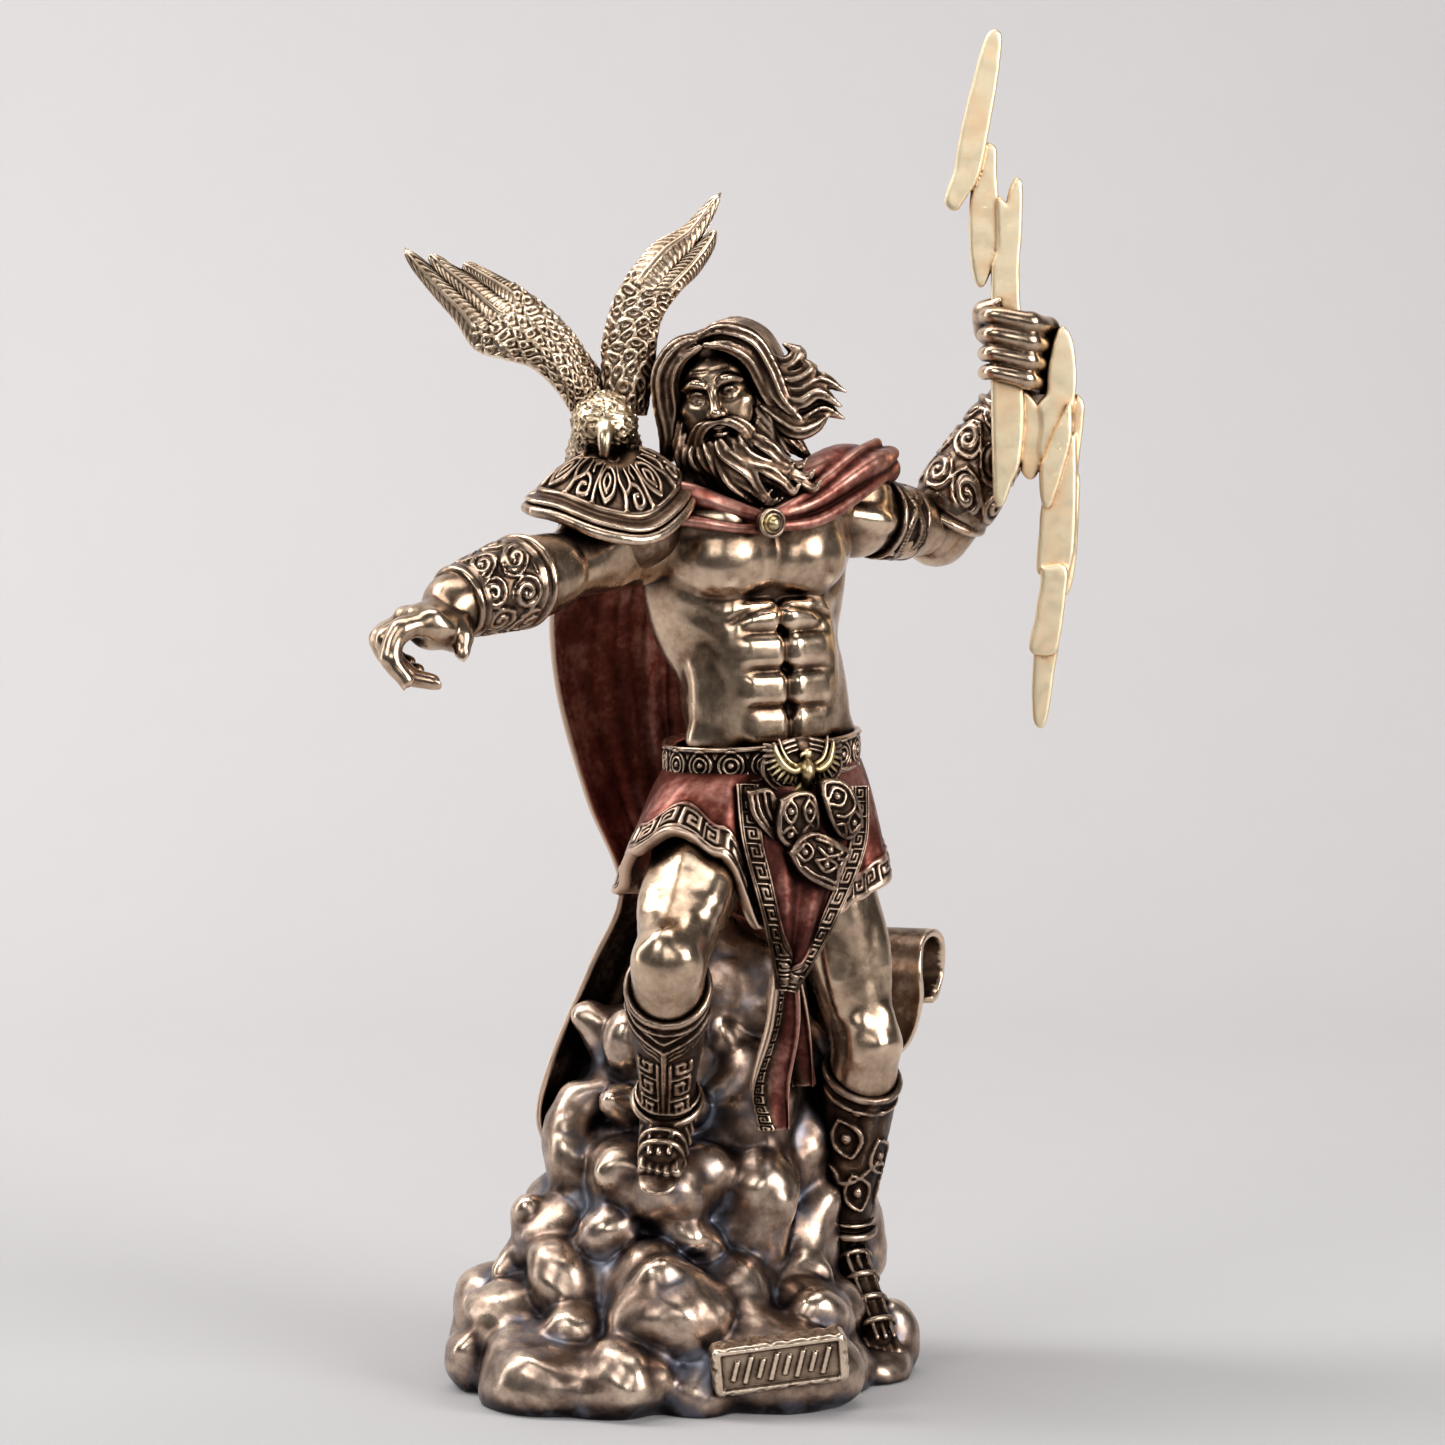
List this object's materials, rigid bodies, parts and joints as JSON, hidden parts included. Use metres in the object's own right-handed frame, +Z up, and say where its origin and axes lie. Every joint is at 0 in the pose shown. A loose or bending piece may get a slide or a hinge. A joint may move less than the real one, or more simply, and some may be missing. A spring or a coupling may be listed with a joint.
{
  "type": "statuette",
  "caption": "Bronze-coloured cast statuette of a bearded sky god striding on a cloud mound, in a red cape, with an eagle on one shoulder and a thunderbolt held up in the other hand.",
  "frame": {"origin": "middle of the cloud mound's flat underside", "axes": "+Z up, -Y towards the side that is looked at, +X to the viewer's right, where the thunderbolt is"},
  "size_m": [0.1588, 0.133, 0.3047],
  "materials": {
    "bronze": "cold-cast bronze resin with a dark brown patina in the hollows, rubbed bright on the raised forms",
    "brass": "pale brass-coloured metallic paint, finely grained"
  },
  "bodies": {
    "root": {"figure": "bronze", "thunderbolt": "brass"}
  },
  "joints": []
}
